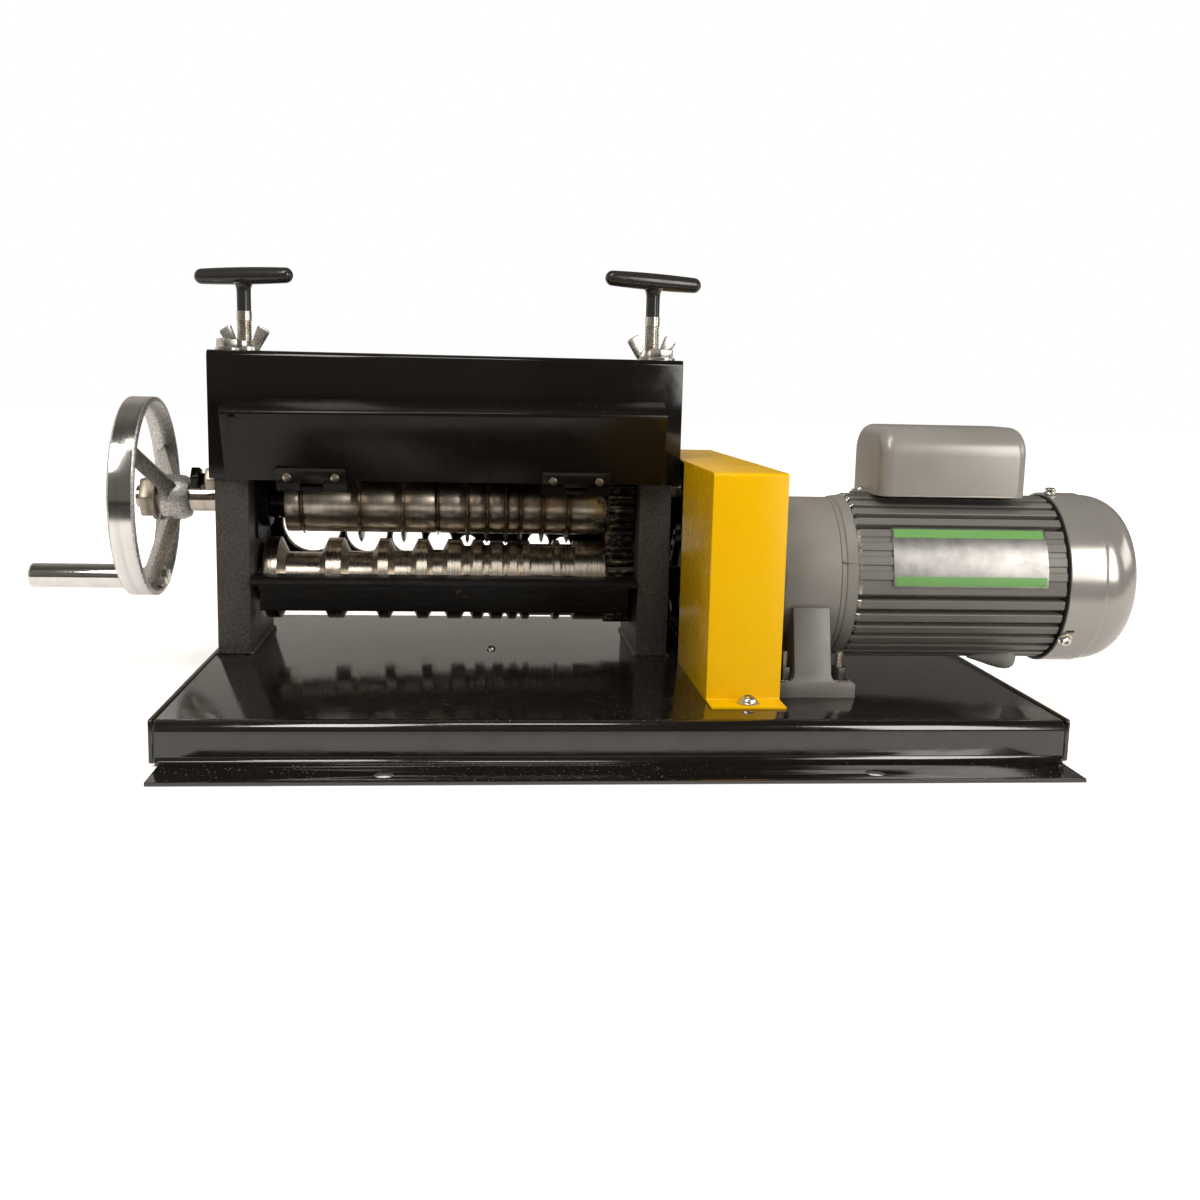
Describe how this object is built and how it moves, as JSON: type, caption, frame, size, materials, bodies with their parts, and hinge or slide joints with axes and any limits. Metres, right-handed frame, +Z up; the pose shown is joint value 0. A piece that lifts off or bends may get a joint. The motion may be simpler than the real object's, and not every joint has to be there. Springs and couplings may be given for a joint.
{
  "type": "electric wire stripping machine",
  "caption": "Bench machine with a grooved roller under a shaft of cutting discs, a crank wheel, a chain guard and a finned gearmotor on a folded steel pan.",
  "frame": {"origin": "middle of the machine's outline, on the floor plane under the pan", "axes": "+X along the rollers from the handwheel to the motor, +Y away from the operator, +Z up"},
  "size_m": [0.8458, 0.462, 0.3329],
  "materials": {
    "gloss_black_paint": "gloss",
    "dark_hammered_paint": "semi-gloss hammered",
    "blackened_steel": "satin",
    "turned_steel": "turned",
    "blade_steel": "ground",
    "cast_aluminium": "polished",
    "chromed_grip": "polished",
    "zinc_plated": "plated",
    "bush_bronze": "turned",
    "dipped_black": "dipped gloss",
    "yellow_paint": "semi-gloss",
    "motor_grey": "semi-gloss paint",
    "grey_plastic": "matte",
    "chain_steel": "oiled"
  },
  "bodies": {
    "frame": {"base_pan": "gloss_black_paint", "left_side_plate": "dark_hammered_paint", "right_side_plate": "dark_hammered_paint", "hood": "gloss_black_paint", "left_hinge_bracket": "gloss_black_paint", "right_hinge_bracket": "gloss_black_paint", "feed_table": "blackened_steel", "feed_guide_plate": "blackened_steel", "left_bearing": "bush_bronze", "right_bearing": "bush_bronze", "drive_chain": "chain_steel", "chain_guard": "yellow_paint", "gearbox": "motor_grey", "gear_end_shield": "motor_grey", "motor_body": "motor_grey", "rear_end_shield": "motor_grey", "fan_cowl": "motor_grey", "capacitor_cover": "motor_grey"},
    "guard_flap": {"guard_flap": "gloss_black_paint", "left_hinge_leaf": "gloss_black_paint", "right_hinge_leaf": "gloss_black_paint"},
    "bearing_carriage": {"left_bearing_block": "blackened_steel", "right_bearing_block": "blackened_steel"},
    "blade_shaft": {"blade_shaft": "turned_steel", "upper_gear": "turned_steel", "handwheel": "cast_aluminium", "handwheel_nut": "zinc_plated", "crank_pin": "zinc_plated", "spacer_1": "turned_steel", "spacer_2": "turned_steel", "spacer_3": "turned_steel", "spacer_4": "turned_steel", "spacer_5": "turned_steel", "spacer_6": "turned_steel", "spacer_7": "turned_steel", "spacer_8": "turned_steel", "spacer_9": "turned_steel", "spacer_10": "turned_steel", "spacer_11": "turned_steel", "blade_1": "blade_steel", "blade_2": "blade_steel", "blade_3": "blade_steel", "blade_4": "blade_steel", "blade_5": "blade_steel", "blade_6": "blade_steel", "blade_7": "blade_steel", "blade_8": "blade_steel", "blade_9": "blade_steel", "blade_10": "blade_steel"},
    "crank_handle": {"crank_handle": "chromed_grip"},
    "left_hand_screw": {"left_hand_screw": "dipped_black"},
    "right_hand_screw": {"right_hand_screw": "dipped_black"},
    "left_wing_nut": {"left_wing_nut": "zinc_plated"},
    "right_wing_nut": {"right_wing_nut": "zinc_plated"},
    "lower_roller": {"lower_roller": "turned_steel", "lower_gear": "turned_steel", "roller_sprocket": "chain_steel"},
    "motor_output": {"output_shaft": "turned_steel", "motor_sprocket": "chain_steel"},
    "motor_rotor": {"cooling_fan": "grey_plastic"}
  },
  "joints": [
    {"name": "guard_flap_swing", "type": "hinge", "parent": "frame", "child": "guard_flap", "pos_m": [-0.08575, 0.0024, 0.1621], "axis": [1, 0, 0], "range_deg": [0, 155]},
    {"name": "bearing_carriage_lift", "type": "slide", "parent": "frame", "child": "bearing_carriage", "axis": [0, 0, 1], "range_m": [0, 0.004]},
    {"name": "blade_shaft_turn", "type": "hinge", "parent": "bearing_carriage", "child": "blade_shaft", "pos_m": [-0.08445, 0.0685, 0.148], "axis": [1, 0, 0], "continuous": true},
    {"name": "crank_handle_turn", "type": "hinge", "parent": "blade_shaft", "child": "crank_handle", "pos_m": [-0.37995, 0.07666, 0.0815], "axis": [1, 0, 0], "continuous": true},
    {"name": "left_hand_screw_turn", "type": "hinge", "parent": "bearing_carriage", "child": "left_hand_screw", "pos_m": [-0.24845, 0.0685, 0.25], "axis": [0, 0, 1], "range_deg": [0, 820]},
    {"name": "right_hand_screw_turn", "type": "hinge", "parent": "bearing_carriage", "child": "right_hand_screw", "pos_m": [0.07955, 0.0685, 0.25], "axis": [0, 0, 1], "range_deg": [0, 820]},
    {"name": "left_wing_nut_turn", "type": "hinge", "parent": "frame", "child": "left_wing_nut", "pos_m": [-0.24845, 0.0685, 0.27], "axis": [0, 0, 1], "range_deg": [0, 90]},
    {"name": "right_wing_nut_turn", "type": "hinge", "parent": "frame", "child": "right_wing_nut", "pos_m": [0.07955, 0.0685, 0.27], "axis": [0, 0, 1], "range_deg": [0, 90]},
    {"name": "lower_roller_turn", "type": "hinge", "parent": "frame", "child": "lower_roller", "pos_m": [-0.08445, 0.0685, 0.083], "axis": [1, 0, 0], "continuous": true},
    {"name": "motor_output_turn", "type": "hinge", "parent": "frame", "child": "motor_output", "pos_m": [0.12225, -0.0556, 0.108], "axis": [1, 0, 0], "continuous": true},
    {"name": "motor_rotor_turn", "type": "hinge", "parent": "frame", "child": "motor_rotor", "pos_m": [0.40225, -0.0556, 0.108], "axis": [1, 0, 0], "continuous": true}
  ],
  "couplings": [
    {"joint": "bearing_carriage_lift", "follows": "left_hand_screw_turn", "m_per_rad": 0.00027852},
    {"joint": "right_hand_screw_turn", "follows": "left_hand_screw_turn", "ratio": 1},
    {"joint": "blade_shaft_turn", "follows": "lower_roller_turn", "ratio": -1},
    {"joint": "motor_output_turn", "follows": "lower_roller_turn", "ratio": 1.3333},
    {"joint": "motor_rotor_turn", "follows": "lower_roller_turn", "ratio": 20}
  ]
}
